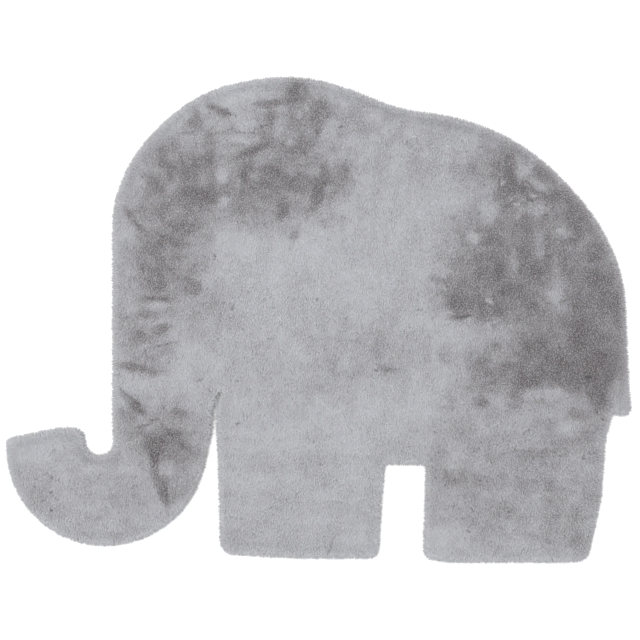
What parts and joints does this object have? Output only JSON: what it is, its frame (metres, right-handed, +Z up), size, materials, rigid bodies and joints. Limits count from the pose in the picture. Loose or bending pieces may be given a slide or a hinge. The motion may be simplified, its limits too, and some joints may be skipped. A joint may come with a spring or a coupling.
{
  "type": "kids rug",
  "caption": "Flat plush rug for a child's room, cut in one piece as a standing elephant in side view, with a curled trunk, block legs and a stub tail.",
  "frame": {"origin": "on the floor, under the middle of the rug's bounding box", "axes": "+X from the head to the tail, +Y from the feet to the back, +Z up out of the pile"},
  "size_m": [1.2, 0.932, 0.022],
  "materials": {
    "plush": "matt"
  },
  "bodies": {
    "root": {"plush_rug": "plush"}
  },
  "joints": []
}
